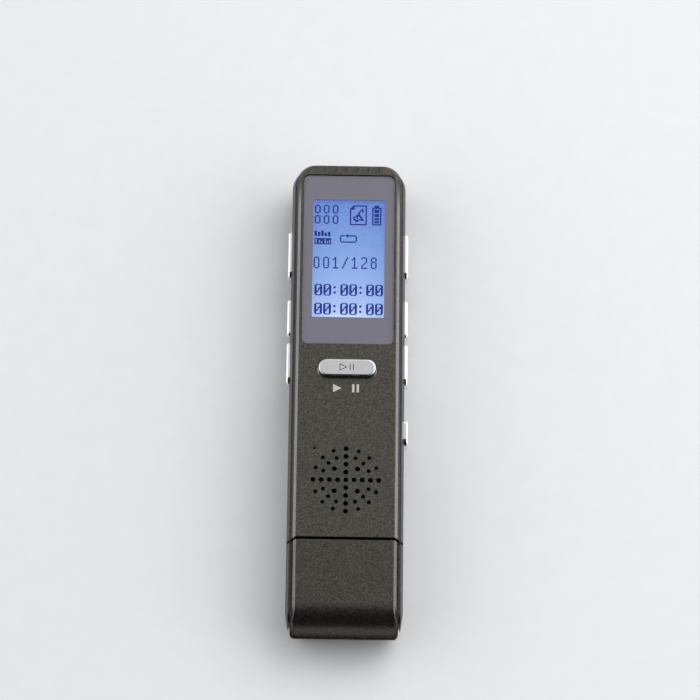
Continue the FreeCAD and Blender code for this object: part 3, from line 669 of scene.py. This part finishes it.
def key_end_shade(name, body, reach):
    """A small glossy black patch near a side key's lower end, following the key's round corners: painted
    shade and a painted dark reflection at the key's end.
    """
    low = corners(name)[0]
    side = math.copysign(1, low.x)
    rail = corners("side_frame")[1].x
    end = low.y + KEY_RIM
    centre = middle(name).z
    steps = 6
    sweep = math.asin(1 - SHADE_START / KEY_CORNER)
    lower = [(end + SHADE_LENGTH, centre - KEY_HALF_HEIGHT - SHADE_PROUD)]
    for step in range(steps + 1):
        angle = sweep * step / steps
        lower.append((
            end + KEY_CORNER - math.sin(angle) * (KEY_CORNER + SHADE_PROUD),
            centre - KEY_HALF_HEIGHT + KEY_CORNER - math.cos(angle) * (KEY_CORNER + SHADE_PROUD),
        ))
    outline = lower + [(y, centre * 2 - z) for y, z in reversed(lower)]
    mesh = bmesh.new()
    inner, outer = (
        [mesh.verts.new((x * side, y, z)) for y, z in outline] for x in (rail - 0.1, rail + reach)
    )
    close_up(mesh, inner, outer)
    piece(f"{name}_end_shade", mesh, "black_gloss", body)


# Only the longer keys and the slider have this painted shade
for key in ("menu", "volume_down", "record", "next"):
    key_end_shade(f"{key}_key", key, 0.36)
key_end_shade("power_slider", "slider", 0.5)

GRILLE_RADIUS = 6.08  # of the outermost ring of speaker holes


def record_lamp():
    """A small red domed lamp on the speaker cloth, under one of the outer grille holes."""
    cloth = middle("grille_mesh")
    top = corners("grille_mesh")[1].z
    angle = math.radians(22.5)
    place = Vector((math.cos(angle), math.sin(angle), 0)) * GRILLE_RADIUS + Vector((cloth.x, cloth.y, top))
    radius, flattening = 0.34, 0.8
    mesh = bmesh.new()
    bmesh.ops.create_uvsphere(mesh, u_segments=20, v_segments=10, radius=radius)
    bmesh.ops.scale(mesh, vec=(1, 1, flattening), verts=mesh.verts)
    bmesh.ops.translate(mesh, vec=place, verts=mesh.verts)
    for face in mesh.faces:
        face.smooth = True
    piece("record_lamp", mesh, "lamp")


record_lamp()

# The microphone slots along the front cover's top edge
SLOT_COUNT = 6
SLOT_PITCH, SLOT_WIDTH, SLOT_REACH, SLOT_DEPTH = 2.07, 1.2, 2.2, 0.7


def microphone_gauze():
    """Fine dark gauze on the floors of the microphone slots, each patch with a round-cornered inner end."""
    edge = corners("front_cover")[1].y
    slot_floor = FACE - SLOT_DEPTH
    half_width, corner, clearance = SLOT_WIDTH / 2 - 0.02, 0.5, 0.02
    inner_end, outer_end = edge - SLOT_REACH + clearance, edge - 0.85
    steps = 12
    mesh = bmesh.new()
    for number in range(SLOT_COUNT):
        x = SLOT_PITCH * (number - (SLOT_COUNT - 1) / 2)
        outline = [(x + half_width, outer_end), (x - half_width, outer_end)]
        for step in range(steps + 1):
            angle = math.pi * (1 + step / steps)
            outline.append((
                x + math.copysign(half_width - corner, math.cos(angle)) + math.cos(angle) * corner,
                inner_end + corner + math.sin(angle) * corner,
            ))
        prism(mesh, outline, slot_floor + 0.005, slot_floor + 0.3)
    piece("microphone_gauze", mesh, "gauze")


microphone_gauze()


# ---------------------------------------------------------------- floor, light and camera


def pale_floor():
    """A matt off-white floor, faintly mottled."""
    g = Graph("pale_floor")
    tone = g.ramp(g.noise(4, 4), (0.3, (0.885, 0.888, 0.895)), (0.7, (0.905, 0.908, 0.915)))
    bpy.ops.mesh.primitive_plane_add(size=3)
    floor = bpy.context.object
    floor.name = "floor"
    floor.data.materials.append(g.principled(Base_Color=tone, Roughness=0.6))


pale_floor()


def softbox(name, place, across, along, radiance):
    """A rectangular area light, aimed at the recorder, of a given brightness per area."""
    light = bpy.data.lights.new(name, "AREA")
    light.shape = "RECTANGLE"
    light.size, light.size_y = across, along
    light.energy = radiance * math.pi * across * along
    obj = bpy.data.objects.new(name, light)
    bpy.context.scene.collection.objects.link(obj)
    obj.location = place
    obj.rotation_mode = "QUATERNION"
    obj.rotation_quaternion = (-Vector(place)).to_track_quat("-Z", "Y")


softbox("back_right", (0.38, 0.5, 0.6), 0.7, 0.6, 2.1)
softbox("right_side", (0.6, -0.1, 0.3), 0.5, 0.4, 1.0)


def studio_sky():
    """A pale room, bright behind the recorder's top end and to both sides, and dark behind the camera."""
    world = bpy.data.worlds.new("studio")
    world.use_nodes = True
    tree = world.node_tree

    def made(kind, settings, values, *links):
        node = tree.nodes.new(f"ShaderNode{kind}")
        for name, value in settings.items():
            setattr(node, name, value)
        for name, value in values.items():
            node.inputs[name].default_value = value
        for number, link in enumerate(links):
            tree.links.new(link, node.inputs[number])
        return node

    parts = made("SeparateXYZ", {}, {}, made("TexCoord", {}, {}).outputs["Generated"])
    aside = made("Math", {"operation": "ABSOLUTE"}, {}, parts.outputs["X"])
    smooth = {"interpolation_type": "SMOOTHSTEP"}
    rise = {"From Min": -0.42, "From Max": 0.36, "To Min": 0.015, "To Max": 0.7}
    behind = made("MapRange", smooth, rise, parts.outputs["Y"])
    sides = made("MapRange", smooth, {"From Min": 0.4, "From Max": 0.85, "To Max": 1.15}, aside.outputs[0])
    total = made("Math", {"operation": "ADD"}, {}, behind.outputs[0], sides.outputs[0])
    back = tree.nodes["Background"]
    back.inputs["Color"].default_value = (0.97, 0.985, 1, 1)
    tree.links.new(total.outputs[0], back.inputs["Strength"])
    bpy.context.scene.world = world


studio_sky()
bpy.context.scene.view_settings.view_transform = "Standard"

# The viewpoint: nearly overhead, from the cap's end, through a long lens
VIEW_AIM = Vector((0.48, 7.96, FACE)) * MM
VIEW_DISTANCE = 674.2 * MM
VIEW_ASIDE = math.radians(-1.5)
VIEW_HEIGHT = math.radians(69.65)
VIEW_ROLL = math.radians(2.3)
SENSOR_WIDTH, LENS = 36, 185.1

camera = bpy.data.objects.new("camera", bpy.data.cameras.new("camera"))
bpy.context.scene.collection.objects.link(camera)
camera.data.sensor_width, camera.data.lens = SENSOR_WIDTH, LENS
toward_camera = Vector((
    math.sin(VIEW_ASIDE) * math.cos(VIEW_HEIGHT), -math.cos(VIEW_ASIDE) * math.cos(VIEW_HEIGHT),
    math.sin(VIEW_HEIGHT),
))
camera.location = VIEW_AIM + toward_camera * VIEW_DISTANCE
camera.rotation_mode = "QUATERNION"
camera.rotation_quaternion = (-toward_camera).to_track_quat("-Z", "Y") @ Quaternion((0, 0, 1), VIEW_ROLL)
camera.data.clip_start, camera.data.clip_end = 0.01, 10
bpy.context.scene.camera = camera
